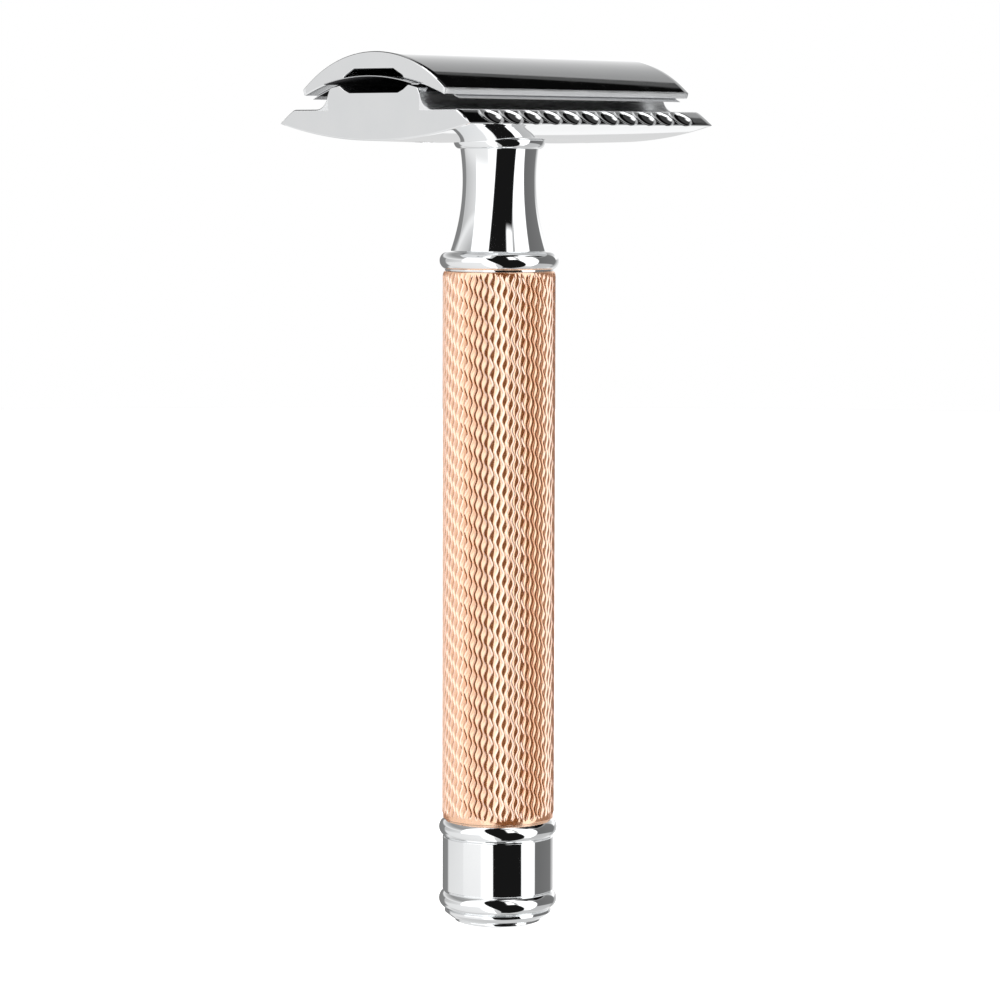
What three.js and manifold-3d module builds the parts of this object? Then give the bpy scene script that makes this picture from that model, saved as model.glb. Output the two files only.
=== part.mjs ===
// Three-piece double-edge safety razor with a closed-comb head.
//
// Millimetres, +Z up. The origin is the centre of the foot, on the handle's axis. The head's length
// runs along X and its two guard bars face -Y and +Y. The cap's stud screws into the neck, and the
// blade is bent between the cap and the base plate.

import * as THREE from 'three';
import { mergeVertices } from 'three/addons/utils/BufferGeometryUtils.js';
import Module from 'manifold-3d';

const wasm = await Module();
wasm.setup();

// ---------------------------------------------------------------- driving dimensions

const TURNED_SEGMENTS = 36;
const SMALL_SEGMENTS = 24;
const THREAD_SEGMENTS = 16;

// Fits
const PRESS_GAP = 0.03;
const SLIDE_GAP = 0.15;

// Handle, heights measured from the foot
const FOOT_FLAT_R = 3.6;
const FOOT_DISH = [4.35, 0.16];
const FOOT_R = 4.8;
const FOOT_SIDE_Z = 0.34;
const FOOT_Z = 0.64;
const STEP_DISH = [5.38, 0.84];
const STEP_R = 5.95;
const STEP_SIDE_Z = 1.32;
const STEP_Z = 1.7;
const BEAD_R = 6.6;
const BEAD_ROUND = 1.05;
const BEAD_REACH = 62;
const NECK_BEAD_REACH = 68;
const BAND_R = 6.2;
const LOW_BEAD_Z = 2.78;
const BAND_BOTTOM = 3.85;
const BAND_TOP = 9.84;
const POMMEL_TOP = 11.85;
const SLEEVE_R = 6.25;
const SLEEVE_INNER_R = 5.05;
const SLEEVE_TOP = 72.9;
const LEDGE = 0.2;
const NECK_BEAD_Z = 74.07;
const NECK_BASE_Z = 75.2;
const WAIST_R = 4.06;
const WAIST_Z = 82.9;
const WAIST_FLARE = 0.0219;
const FLANGE_Z = 86.35;
const FLANGE_R = 4.95;
const FLANGE_CURVE = [[0.35, 0.18], [0.08, 0.5], [0, 0.85]];
const FLANGE_CHAMFER = 0.05;
const SEAT_Z = 87.4;

// Inside the handle
const SPIGOT_R = SLEEVE_INNER_R - 0.05;
const SPIGOT_LENGTH = 6.5;
const O_RING_WIRE = 0.4;
const O_RING_R = SLEEVE_INNER_R - O_RING_WIRE - PRESS_GAP;
const GROOVE_DEPTH = 0.85;
const GROOVE_WIDTH = 1.3;
const ROD_R = 2.0;
const ROD_BORE_R = ROD_R + SLIDE_GAP;
const ROD_BOTTOM = 5.2;
const ROD_TOP = 76.0;
const ROD_BORE_TOP = 76.6;
const TUBE_GAP = 0.05;
const PLUG_BORE_R = 4.15;
const PLUG_TOP = 3.8;
const NUT_SEAT_Z = 9.2;
const NUT_ACROSS_FLATS = 7.0;
const NUT_HEIGHT = 3.2;
const WASHER_R = 3.9;
const WASHER_THICKNESS = 0.5;

// Head, heights measured from the neck's seat
const HEAD_LENGTH = 41.0;
const BLADE_LENGTH = 42.8;
const BLADE_EDGE_LENGTH = 37.2;
const BLADE_THICKNESS = 0.1;
const BLADE_CHORD = 21.3;
const BLADE_TAB_WIDTH = 12.7;
const BLADE_BEND_R = 25.0;
const BLADE_APEX = 6.6;
const BLADE_TAPER = 0.25;
const BLADE_HOLE_R = 3.0;
const BLADE_PIN_GAP = 0.35;
const BLADE_SLOT = [32, 1.5];
const CAP_APEX = 9.25;
const CAP_R = 15.4;
const CAP_CHORD = 20.8;
const CAP_LIP_CHORD = 20.2;
const RECESS_TOP = 7.37;
const RECESS_HALF = 4.3;
const RECESS_CURVE = [[4.12, 0.62], [3.78, 0.28], [3.45, 0.08], [3.0, 0]];
const PLATE_BOTTOM = -0.25;
const PLATE_BOTTOM_R = 53;
const GUARD_WIDTH = 27.5;
const NOSE_ROUND = 0.2;
const SHELF_Z = 3.1;
const SHELF_EDGE = 11.7;
const SHELF_CHAMFER = [0.25, 0.05];
const SHELF_ROUND = 1.7;
const HUMP_HALF = 6.75;
const HUMP_TOP_HALF = 6.4;
const HUMP_INNER_HALF = 5.0;
const HUMP_GAP = 0.3;
const TROUGH_Z = 4.9;
const TROUGH_CURVE = [[4.72, 0.78], [4.4, 0.52], [4.1, 0.2], [3.8, 0.05], [3.4, 0]];
const SCOOP_COUNT = 11;
const SCOOP_PITCH = 3.2;
const SCOOP_SIZE = [1.5, 1.35, 0.95];
const SCOOP_LIFT = 0.12;
const SCOOP_END_Z = 1.75;

// Screw and locating pins
const PITCH = 0.8;
const STUD_CREST_R = 2.45;
const STUD_ROOT_R = 2.02;
const STUD_BOTTOM = -7.0;
const STUD_TOP = 8.4;
const STUD_THREAD_TOP = 1.6;
const STUD_OVERLAP = 0.5;
const NECK_THREAD_BOTTOM = STUD_BOTTOM - 2 * PITCH;
const NECK_THREAD_TOP = 0.7;
const MOUTH_R = 3.05;
const MOUTH_DEPTH = 0.4;
const THREAD_GAP = 0.13;
const PIN_R = 1.5;
const PIN_X = 13.0;
const PIN_BOTTOM = 0.9;
const PIN_TOP = 8.0;
const PIN_CHAMFER = 0.4;
const STUD_HOLE_GAP = 0.3;
const CUT_BOTTOM = -2.0;
const CUT_TOP = 8.0;

// ---------------------------------------------------------------- geometry helpers

const point = (x, y) => new THREE.Vector2(x, y);

// A point on a circle about (x, y), at an angle in degrees.
function onCircle(x, y, radius, degrees) {
  const angle = THREE.MathUtils.degToRad(degrees);
  return point(x + radius * Math.cos(angle), y + radius * Math.sin(angle));
}

// Points on a circle from one angle to another, in degrees.
function arc(x, y, radius, from, to, steps) {
  const points = [];
  for (let i = 0; i <= steps; i += 1) {
    points.push(onCircle(x, y, radius, from + ((to - from) * i) / steps));
  }
  return points;
}

// The angle, in degrees from +X, where a circle about (0, y) stands at this half width.
const angleAt = (half, radius) => THREE.MathUtils.radToDeg(Math.acos(half / radius));

const mirrored = (points) => points.map((p) => point(-p.x, p.y)).reverse();

// One closed body: shared vertices merged, empty triangles dropped, faces pointing out.
function closed(source) {
  const bare = source.clone();
  bare.deleteAttribute('normal');
  bare.deleteAttribute('uv');
  const merged = mergeVertices(bare, 1e-4);
  const at = merged.getAttribute('position');
  const corners = merged.getIndex().array;
  const kept = [];
  let volume = 0;
  for (let i = 0; i < corners.length; i += 3) {
    const [a, b, c] = corners.slice(i, i + 3);
    if (a !== b && b !== c && c !== a) {
      kept.push(a, b, c);
      const [p, q, r] = [a, b, c].map((k) => new THREE.Vector3().fromBufferAttribute(at, k));
      volume += p.dot(q.cross(r));
    }
  }
  if (volume < 0) {
    kept.reverse();
  }
  merged.setIndex(kept);
  return merged;
}

// A body of revolution about Z from (radius, height) points.
function turned(profile, segments = TURNED_SEGMENTS) {
  return closed(new THREE.LatheGeometry(profile, segments).rotateX(Math.PI / 2));
}

// A bar along X from a closed (y, z) outline, centred on the origin.
function barAlongX(outline, length) {
  const shape = new THREE.Shape(outline);
  const bar = new THREE.ExtrudeGeometry(shape, { depth: length, bevelEnabled: false });
  const axes = [[0, 1, 0], [0, 0, 1], [1, 0, 0]].map((a) => new THREE.Vector3(...a));
  bar.applyMatrix4(new THREE.Matrix4().makeBasis(...axes));
  return closed(bar.translate(-length / 2, 0, 0));
}

// A prism along Z from a closed (x, y) outline with a hole in it, between two heights.
function prism(outline, hole, bottom, top) {
  const shape = new THREE.Shape(outline);
  shape.holes = [new THREE.Path(hole)];
  const body = new THREE.ExtrudeGeometry(shape, { depth: top - bottom, bevelEnabled: false });
  return closed(body.translate(0, 0, bottom));
}

function rod(radius, bottom, top, x = 0, segments = SMALL_SEGMENTS) {
  const body = new THREE.CylinderGeometry(radius, radius, top - bottom, segments);
  return closed(body.rotateX(Math.PI / 2).translate(x, 0, (top + bottom) / 2));
}

// A cone along Z, from one radius at the bottom to another at the top.
function cone(lowR, highR, bottom, top, x = 0, segments = SMALL_SEGMENTS) {
  const body = new THREE.CylinderGeometry(highR, lowR, top - bottom, segments);
  return closed(body.rotateX(Math.PI / 2).translate(x, 0, (top + bottom) / 2));
}

// A rod with a right-hand thread. Its rows of points climb with the helix, and fade to the root
// radius at both ends, where the rows are held at the end's height.
function threadedRod(rootR, crestR, bottom, top) {
  const rowsPerPitch = 4;
  const rows = Math.ceil((top - bottom) / PITCH) * rowsPerPitch;
  const place = (row, column) => {
    const turn = column / THREAD_SEGMENTS;
    const climbed = bottom + (row / rowsPerPitch - 1 + turn) * PITCH;
    const z = Math.min(Math.max(climbed, bottom), top);
    const ends = Math.min(z - bottom, top - z) / (PITCH / 2);
    const crest = 1 - Math.abs((2 * (row % rowsPerPitch)) / rowsPerPitch - 1);
    const radius = rootR + (crestR - rootR) * crest * Math.min(ends, 1);
    const angle = turn * 2 * Math.PI;
    return [radius * Math.cos(angle), radius * Math.sin(angle), z];
  };
  const corners = [];
  const lastRow = rows + 2 * rowsPerPitch;
  const face = (...points) => points.forEach((p) => corners.push(...p));
  for (let column = 0; column < THREAD_SEGMENTS; column += 1) {
    for (let row = 0; row < lastRow; row += 1) {
      const near = [place(row, column), place(row + 1, column)];
      const far = [place(row, column + 1), place(row + 1, column + 1)];
      face(near[0], far[0], far[1]);
      face(near[0], far[1], near[1]);
    }
    face([0, 0, bottom], place(0, column + 1), place(0, column));
    face([0, 0, top], place(lastRow, column), place(lastRow, column + 1));
  }
  const body = new THREE.BufferGeometry();
  body.setAttribute('position', new THREE.Float32BufferAttribute(corners, 3));
  return closed(body);
}

function toSolid(geometry) {
  const vertProperties = new Float32Array(geometry.getAttribute('position').array);
  const triVerts = new Uint32Array(geometry.getIndex().array);
  return new wasm.Manifold(new wasm.Mesh({ numProp: 3, vertProperties, triVerts }));
}

function toGeometry(solid) {
  const mesh = solid.getMesh();
  const geometry = new THREE.BufferGeometry();
  geometry.setAttribute('position', new THREE.BufferAttribute(new Float32Array(mesh.vertProperties), 3));
  geometry.setIndex([...mesh.triVerts]);
  return closed(geometry);
}

function cut(body, tools) {
  return toGeometry(tools.reduce((left, tool) => left.subtract(toSolid(tool)), toSolid(body)));
}

function join(bodies) {
  return toGeometry(bodies.map(toSolid).reduce((sum, body) => sum.add(body)));
}

// ---------------------------------------------------------------- handle

// A rounded bead that stands out of a wall, from its lower to its upper edge.
const bead = (z, reach) => arc(BEAD_R - BEAD_ROUND, z, BEAD_ROUND, -reach, reach, 6);

function footPlug() {
  return turned([
    point(0, 0),
    point(FOOT_FLAT_R, 0),
    point(...FOOT_DISH),
    point(FOOT_R, FOOT_SIDE_Z),
    point(FOOT_R, FOOT_Z - PRESS_GAP),
    point(PLUG_BORE_R - PRESS_GAP, FOOT_Z - PRESS_GAP),
    point(PLUG_BORE_R - PRESS_GAP, PLUG_TOP),
    point(0, PLUG_TOP),
  ]);
}

// The groove for an O-ring in a spigot, from its lower to its upper edge.
const groove = (z) => [
  point(SPIGOT_R, z - GROOVE_WIDTH / 2),
  point(SPIGOT_R - GROOVE_DEPTH, z - GROOVE_WIDTH / 2),
  point(SPIGOT_R - GROOVE_DEPTH, z + GROOVE_WIDTH / 2),
  point(SPIGOT_R, z + GROOVE_WIDTH / 2),
];

const POMMEL_RING_Z = POMMEL_TOP + SPIGOT_LENGTH / 2;
const NECK_RING_Z = SLEEVE_TOP - SPIGOT_LENGTH / 2;

function pommel() {
  const spigotTop = POMMEL_TOP + SPIGOT_LENGTH;
  return turned([
    point(PLUG_BORE_R, FOOT_Z),
    point(FOOT_R + SLIDE_GAP, FOOT_Z),
    point(...STEP_DISH),
    point(STEP_R, STEP_SIDE_Z),
    point(STEP_R, STEP_Z),
    ...bead(LOW_BEAD_Z, BEAD_REACH),
    point(BAND_R, BAND_BOTTOM),
    point(BAND_R, BAND_TOP),
    ...bead((BAND_TOP + POMMEL_TOP) / 2, BEAD_REACH),
    point(SLEEVE_R - LEDGE, POMMEL_TOP),
    point(SPIGOT_R, POMMEL_TOP),
    ...groove(POMMEL_RING_Z),
    point(SPIGOT_R, spigotTop),
    point(ROD_BORE_R, spigotTop),
    point(ROD_BORE_R, NUT_SEAT_Z),
    point(PLUG_BORE_R, NUT_SEAT_Z),
    point(PLUG_BORE_R, FOOT_Z),
  ]);
}

function gripSleeve() {
  return turned([
    point(SLEEVE_INNER_R, POMMEL_TOP + PRESS_GAP),
    point(SLEEVE_R, POMMEL_TOP + PRESS_GAP),
    point(SLEEVE_R, SLEEVE_TOP - PRESS_GAP),
    point(SLEEVE_INNER_R, SLEEVE_TOP - PRESS_GAP),
    point(SLEEVE_INNER_R, POMMEL_TOP + PRESS_GAP),
  ]);
}

// The neck's concave taper is a parabola about its waist.
function taper(steps) {
  const points = [];
  for (let i = 0; i <= steps; i += 1) {
    const z = NECK_BASE_Z + ((FLANGE_Z - NECK_BASE_Z) * i) / steps;
    points.push(point(WAIST_R + WAIST_FLARE * (z - WAIST_Z) ** 2, z));
  }
  return points;
}

function neck() {
  const spigotBottom = SLEEVE_TOP - SPIGOT_LENGTH;
  const body = turned([
    point(ROD_BORE_R, spigotBottom),
    point(SPIGOT_R, spigotBottom),
    ...groove(NECK_RING_Z),
    point(SPIGOT_R, SLEEVE_TOP),
    point(SLEEVE_R - LEDGE, SLEEVE_TOP),
    ...bead(NECK_BEAD_Z, NECK_BEAD_REACH),
    ...taper(8),
    ...FLANGE_CURVE.map(([inward, rise]) => point(FLANGE_R - inward, FLANGE_Z + rise)),
    point(FLANGE_R - FLANGE_CHAMFER, SEAT_Z),
    point(0, SEAT_Z),
    point(0, ROD_BORE_TOP),
    point(ROD_BORE_R, ROD_BORE_TOP),
    point(ROD_BORE_R, spigotBottom),
  ]);
  const rootR = STUD_ROOT_R + THREAD_GAP;
  const crestR = STUD_CREST_R + THREAD_GAP;
  const thread = threadedRod(rootR, crestR, NECK_THREAD_BOTTOM, NECK_THREAD_TOP);
  const mouth = cone(STUD_ROOT_R, MOUTH_R, -MOUTH_DEPTH, NECK_THREAD_TOP, 0, THREAD_SEGMENTS);
  return cut(body, [thread.translate(0, 0, SEAT_Z), mouth.translate(0, 0, SEAT_Z)]);
}

function coreTube() {
  const bottom = POMMEL_TOP + SPIGOT_LENGTH + SLIDE_GAP;
  const top = SLEEVE_TOP - SPIGOT_LENGTH - SLIDE_GAP;
  const outer = SPIGOT_R - TUBE_GAP;
  return turned([
    point(ROD_BORE_R, bottom),
    point(outer, bottom),
    point(outer, top),
    point(ROD_BORE_R, top),
    point(ROD_BORE_R, bottom),
  ]);
}

function oRing(z) {
  const ring = new THREE.TorusGeometry(O_RING_R, O_RING_WIRE, 6, SMALL_SEGMENTS);
  return closed(ring.translate(0, 0, z));
}

function tieNut() {
  const corner = NUT_ACROSS_FLATS / 2 / Math.cos(Math.PI / 6);
  const top = NUT_SEAT_Z - WASHER_THICKNESS - 2 * PRESS_GAP;
  const hexagon = arc(0, 0, corner, 0, 360, 6).slice(1);
  const hole = arc(0, 0, ROD_R + PRESS_GAP, 0, 360, SMALL_SEGMENTS).slice(1);
  return prism(hexagon, hole, top - NUT_HEIGHT, top);
}

function tieWasher() {
  const bottom = NUT_SEAT_Z - WASHER_THICKNESS - PRESS_GAP;
  const hole = arc(0, 0, ROD_BORE_R, 0, 360, SMALL_SEGMENTS).slice(1);
  const rim = arc(0, 0, WASHER_R, 0, 360, SMALL_SEGMENTS).slice(1);
  return prism(rim, hole, bottom, bottom + WASHER_THICKNESS);
}

// ---------------------------------------------------------------- head

const BEND_CENTRE = BLADE_APEX - BLADE_BEND_R;
const CAP_UNDER_R = BLADE_BEND_R + BLADE_THICKNESS / 2 + PRESS_GAP;
const HUMP_TOP_R = BLADE_BEND_R - BLADE_THICKNESS / 2 - HUMP_GAP;

// Half of the cap's underside, from the lip to the recess.
function capUnderside() {
  const lip = angleAt(CAP_LIP_CHORD / 2, CAP_UNDER_R);
  const inner = angleAt(RECESS_HALF, CAP_UNDER_R);
  return arc(0, BEND_CENTRE, CAP_UNDER_R, lip, inner, 5);
}

function topCap() {
  const edge = angleAt(CAP_CHORD / 2, CAP_R);
  const crown = arc(0, CAP_APEX - CAP_R, CAP_R, 180 - edge, edge, 32);
  const recess = RECESS_CURVE.map(([half, depth]) => point(half, RECESS_TOP - depth));
  const under = [...capUnderside(), ...recess];
  const bar = barAlongX([...crown, ...under, ...mirrored(under)], HEAD_LENGTH);
  const bottom = BLADE_APEX - 1;
  return cut(bar, [
    rod(STUD_ROOT_R + PRESS_GAP, bottom, STUD_TOP + PRESS_GAP),
    rod(PIN_R + PRESS_GAP, bottom, PIN_TOP + PRESS_GAP, -PIN_X),
    rod(PIN_R + PRESS_GAP, bottom, PIN_TOP + PRESS_GAP, PIN_X),
  ]);
}

function capStud() {
  const thread = threadedRod(STUD_ROOT_R, STUD_CREST_R, STUD_BOTTOM, STUD_THREAD_TOP);
  return join([thread, rod(STUD_ROOT_R, STUD_THREAD_TOP - STUD_OVERLAP, STUD_TOP)]);
}

function capPin(x) {
  const shoulder = PIN_BOTTOM + PIN_CHAMFER;
  return join([
    cone(PIN_R - PIN_CHAMFER, PIN_R, PIN_BOTTOM, shoulder, x),
    rod(PIN_R, shoulder, PIN_TOP, x),
  ]);
}

// Half of the base plate's top, from the hump's outer foot to the middle of the trough.
function humpOutline() {
  const outer = angleAt(HUMP_TOP_HALF, HUMP_TOP_R);
  const inner = angleAt(HUMP_INNER_HALF, HUMP_TOP_R);
  return [
    ...arc(HUMP_HALF + SHELF_ROUND, SHELF_Z + SHELF_ROUND, SHELF_ROUND, 270, 188, 6),
    ...arc(0, BEND_CENTRE, HUMP_TOP_R, outer, inner, 2),
    ...TROUGH_CURVE.map(([half, rise]) => point(half, TROUGH_Z + rise)),
  ];
}

function guardOutline() {
  const half = GUARD_WIDTH / 2;
  const centre = PLATE_BOTTOM + PLATE_BOTTOM_R;
  const tip = THREE.MathUtils.radToDeg(Math.asin((half - NOSE_ROUND) / PLATE_BOTTOM_R));
  const noseZ = centre - Math.sqrt(PLATE_BOTTOM_R ** 2 - (half - NOSE_ROUND) ** 2) + NOSE_ROUND;
  return {
    under: arc(0, centre, PLATE_BOTTOM_R, 270 - tip, 270 + tip, 24),
    nose: arc(half - NOSE_ROUND, noseZ, NOSE_ROUND, -70, 50, 4),
  };
}

// One scoop's cutter: an ellipsoid laid down the slope of the guard.
function scoop(x, side) {
  const nose = new THREE.Vector2(GUARD_WIDTH / 2, SCOOP_END_Z);
  const edge = new THREE.Vector2(SHELF_EDGE, SHELF_Z);
  const slope = Math.atan2(nose.y - edge.y, nose.x - edge.x);
  const middle = nose.add(edge).multiplyScalar(0.5);
  const ball = new THREE.SphereGeometry(1, 10, 8).scale(...SCOOP_SIZE);
  const lifted = [middle.x - SCOOP_LIFT * Math.sin(slope), middle.y + SCOOP_LIFT * Math.cos(slope)];
  ball.rotateX(slope);
  ball.translate(x, ...lifted);
  return closed(side > 0 ? ball : ball.rotateZ(Math.PI).translate(2 * x, 0, 0));
}

function basePlate() {
  const { under, nose } = guardOutline();
  const [wider, lower] = SHELF_CHAMFER;
  const shelf = [point(SHELF_EDGE + wider, SHELF_Z - lower), point(SHELF_EDGE, SHELF_Z)];
  const half = [...nose, ...shelf, ...humpOutline()];
  const bar = barAlongX([...under, ...half, ...mirrored(half)], HEAD_LENGTH);
  const tools = [
    rod(STUD_CREST_R + STUD_HOLE_GAP, CUT_BOTTOM, CUT_TOP),
    rod(FLANGE_R + SLIDE_GAP, CUT_BOTTOM, PRESS_GAP, 0, TURNED_SEGMENTS),
    rod(PIN_R + SLIDE_GAP, CUT_BOTTOM, CUT_TOP, -PIN_X),
    rod(PIN_R + SLIDE_GAP, CUT_BOTTOM, CUT_TOP, PIN_X),
  ];
  for (let i = 0; i < SCOOP_COUNT; i += 1) {
    const x = (i - (SCOOP_COUNT - 1) / 2) * SCOOP_PITCH;
    tools.push(scoop(x, 1), scoop(x, -1));
  }
  return cut(bar, tools);
}

// The blade is bent to a circular arc, and its slot and corners are cut straight down.
function blade() {
  const half = angleAt(BLADE_CHORD / 2, BLADE_BEND_R);
  const outer = BLADE_BEND_R + BLADE_THICKNESS / 2;
  const inner = BLADE_BEND_R - BLADE_THICKNESS / 2;
  const edge = half + BLADE_TAPER;
  const outline = [
    ...arc(0, BEND_CENTRE, outer, 180 - edge, edge, 16),
    onCircle(0, BEND_CENTRE, BLADE_BEND_R, half),
    ...arc(0, BEND_CENTRE, inner, edge, 180 - edge, 16),
    onCircle(0, BEND_CENTRE, BLADE_BEND_R, 180 - half),
  ];
  const sheet = barAlongX(outline, BLADE_LENGTH);
  const tabLength = (BLADE_LENGTH - BLADE_EDGE_LENGTH) / 2;
  const slot = new THREE.BoxGeometry(...BLADE_SLOT, CUT_TOP);
  const tools = [rod(BLADE_HOLE_R, 0, CUT_TOP), closed(slot.translate(0, 0, CUT_TOP / 2))];
  for (const side of [-1, 1]) {
    tools.push(rod(PIN_R + BLADE_PIN_GAP, 0, CUT_TOP, side * PIN_X));
    for (const across of [-1, 1]) {
      const corner = new THREE.BoxGeometry(2 * tabLength, BLADE_TAB_WIDTH, CUT_TOP);
      const x = (side * BLADE_LENGTH) / 2;
      tools.push(closed(corner.translate(x, across * BLADE_TAB_WIDTH, CUT_TOP / 2)));
    }
  }
  return cut(sheet, tools);
}

// ---------------------------------------------------------------- materials

const finish = (color, roughness, metalness) => () =>
  new THREE.MeshStandardMaterial({ color, roughness, metalness, flatShading: true });

const chrome = finish('#d6dadd', 0.08, 1.0);
const roseGold = finish('#e6b08c', 0.22, 1.0);
const bladeSteel = finish('#c4c8cb', 0.25, 1.0);
const brass = finish('#c9a45c', 0.35, 1.0);
const zincedSteel = finish('#a9adb0', 0.4, 1.0);
const rubber = finish('#1b1b1c', 0.85, 0.0);

// ---------------------------------------------------------------- assembly

function add(group, name, geometry, material) {
  const mesh = new THREE.Mesh(geometry, material());
  mesh.name = name;
  group.add(mesh);
}

const handle = new THREE.Group();
add(handle, 'foot_plug', footPlug(), chrome);
add(handle, 'pommel', pommel(), chrome);
add(handle, 'grip_sleeve', gripSleeve(), roseGold);
add(handle, 'neck', neck(), chrome);
add(handle, 'core_tube', coreTube(), brass);
add(handle, 'tie_rod', rod(ROD_R, ROD_BOTTOM, ROD_TOP), zincedSteel);
add(handle, 'tie_nut', tieNut(), zincedSteel);
add(handle, 'tie_washer', tieWasher(), zincedSteel);
add(handle, 'neck_o_ring', oRing(NECK_RING_Z), rubber);
add(handle, 'pommel_o_ring', oRing(POMMEL_RING_Z), rubber);

const head = new THREE.Group();
head.position.z = SEAT_Z;
add(head, 'base_plate', basePlate(), chrome);
add(head, 'blade', blade(), bladeSteel);
add(head, 'top_cap', topCap(), chrome);
add(head, 'cap_stud', capStud(), chrome);
add(head, 'cap_pin_left', capPin(-PIN_X), chrome);
add(head, 'cap_pin_right', capPin(PIN_X), chrome);

const razor = new THREE.Group();
razor.add(handle, head);

export default razor;
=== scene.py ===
"""The looks of a three-piece double-edge safety razor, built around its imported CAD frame."""

import math

import bpy
import numpy as np
from mathutils import Matrix, Vector


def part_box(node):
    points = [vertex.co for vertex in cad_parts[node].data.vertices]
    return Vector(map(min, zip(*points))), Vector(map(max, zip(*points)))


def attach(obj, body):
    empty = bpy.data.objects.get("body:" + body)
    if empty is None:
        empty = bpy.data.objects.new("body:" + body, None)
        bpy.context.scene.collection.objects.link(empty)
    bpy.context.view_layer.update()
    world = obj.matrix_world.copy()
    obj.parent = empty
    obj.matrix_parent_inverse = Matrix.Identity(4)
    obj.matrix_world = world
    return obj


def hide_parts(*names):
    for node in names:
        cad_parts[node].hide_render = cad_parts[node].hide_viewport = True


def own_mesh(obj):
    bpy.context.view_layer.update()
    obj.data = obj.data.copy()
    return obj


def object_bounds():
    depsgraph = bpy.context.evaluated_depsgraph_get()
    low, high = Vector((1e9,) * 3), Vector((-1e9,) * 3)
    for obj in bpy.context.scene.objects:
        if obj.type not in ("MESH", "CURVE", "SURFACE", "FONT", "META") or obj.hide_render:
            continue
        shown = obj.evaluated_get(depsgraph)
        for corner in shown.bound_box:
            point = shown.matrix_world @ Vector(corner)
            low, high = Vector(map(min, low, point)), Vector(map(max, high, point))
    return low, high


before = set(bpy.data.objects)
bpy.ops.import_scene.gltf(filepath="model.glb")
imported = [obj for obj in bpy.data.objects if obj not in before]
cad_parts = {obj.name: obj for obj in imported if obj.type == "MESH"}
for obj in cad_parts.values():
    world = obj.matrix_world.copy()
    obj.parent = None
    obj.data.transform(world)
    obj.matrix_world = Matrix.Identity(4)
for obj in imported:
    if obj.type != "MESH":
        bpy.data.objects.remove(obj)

cad_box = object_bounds()

# ------------------------------------------------------------------ sizes, in millimetres

MM = 0.001


def box_mm(node):
    """The lowest and highest corner of a CAD node, in millimetres."""
    low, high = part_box(node)
    return low / MM, high / MM


# Read from the frame
NECK_LOW, NECK_HIGH = box_mm("neck")
SLEEVE_LOW, SLEEVE_HIGH = box_mm("grip_sleeve")
POMMEL_LOW, POMMEL_HIGH = box_mm("pommel")
PLUG_LOW, PLUG_HIGH = box_mm("foot_plug")
CORE_LOW, CORE_HIGH = box_mm("core_tube")
ROD_LOW, ROD_HIGH = box_mm("tie_rod")
NUT_LOW, NUT_HIGH = box_mm("tie_nut")
WASHER_LOW, WASHER_HIGH = box_mm("tie_washer")
PLATE_LOW, PLATE_HIGH = box_mm("base_plate")
_, CAP_HIGH = box_mm("top_cap")
_, BLADE_HIGH = box_mm("blade")
STUD_LOW, STUD_HIGH = box_mm("cap_stud")
PIN_LOW, PIN_HIGH = box_mm("cap_pin_right")
SEAT = NECK_HIGH.z
BEAD_R = NECK_HIGH.x
SLEEVE_R = SLEEVE_HIGH.x
PLUG_R = PLUG_HIGH.x
ROD_R = ROD_HIGH.x
PIN_R = (PIN_HIGH.x - PIN_LOW.x) / 2
PIN_X = (PIN_HIGH.x + PIN_LOW.x) / 2

# Handle
ROUND = 128
FINE_ROUND = 192
BEAD_ROUND = 1.05
BAND_R = 6.2
BAND_LOW = 3.85
BAND_HIGH = 9.84
LOW_BEAD_Z = 2.78
HIGH_BEAD_Z = 10.85
NECK_BEAD_Z = 74.07
NECK_BASE_Z = 75.2
WAIST_R = 4.06
WAIST_Z = 82.9
WAIST_FLARE = 0.0219
FLANGE_Z = 86.35
FLANGE_R = 4.95
GROOVE_BY_BAND = 0.16
STEP_R = 5.95
STEP_Z = 1.7
STEP_LOW_Z = 1.32
GROOVE_BY_STEP = 0.22
FOOT_CURVE_R = 5.38
FOOT_CURVE_Z = 0.84
PLUG_GAP = 0.16
PLUG_STEM_R = PLUG_R - 0.67
PLUG_LEDGE = 0.6
PLUG_EDGE_Z = 0.34
PLUG_CURVE_R = 4.35
PLUG_CURVE_Z = 0.16
PLUG_FLAT_R = 3.6
BORE_R = 4.15
SPIGOT_R = 5.0
SLEEVE_INNER_R = 5.05
ROD_BORE_R = 2.15
NUT_SEAT_Z = 9.2
GROOVE_DEPTH = 0.85
GROOVE_WIDTH = 1.3
ROD_THREAD = 7.2
ROD_THREAD_DEPTH = 0.32
NUT_ROUND = 96
NUT_GAP = 0.03
NUT_CHAMFER = 0.25
NUT_CONE_REACH = 0.3
NUT_CONE_RISE = 0.18

# Waved engraving of the grip: narrow cords over a smooth floor
CORDS = 64
CORD_WIDTH = 0.36
CORD_HEIGHT = 0.11
WAVE_LENGTH = 1.981
WAVE_REACH = 0.155
WAVES_PER_CORD = 0.25
WAVE_START = 0.145
CORD_START = -0.1
PLAIN_RIM = 0.42
CORD_END = 0.35
ROWS_PER_WAVE = 10
CORD_COLUMNS = (-0.5, -0.25, 0.0, 0.25, 0.5)

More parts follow.
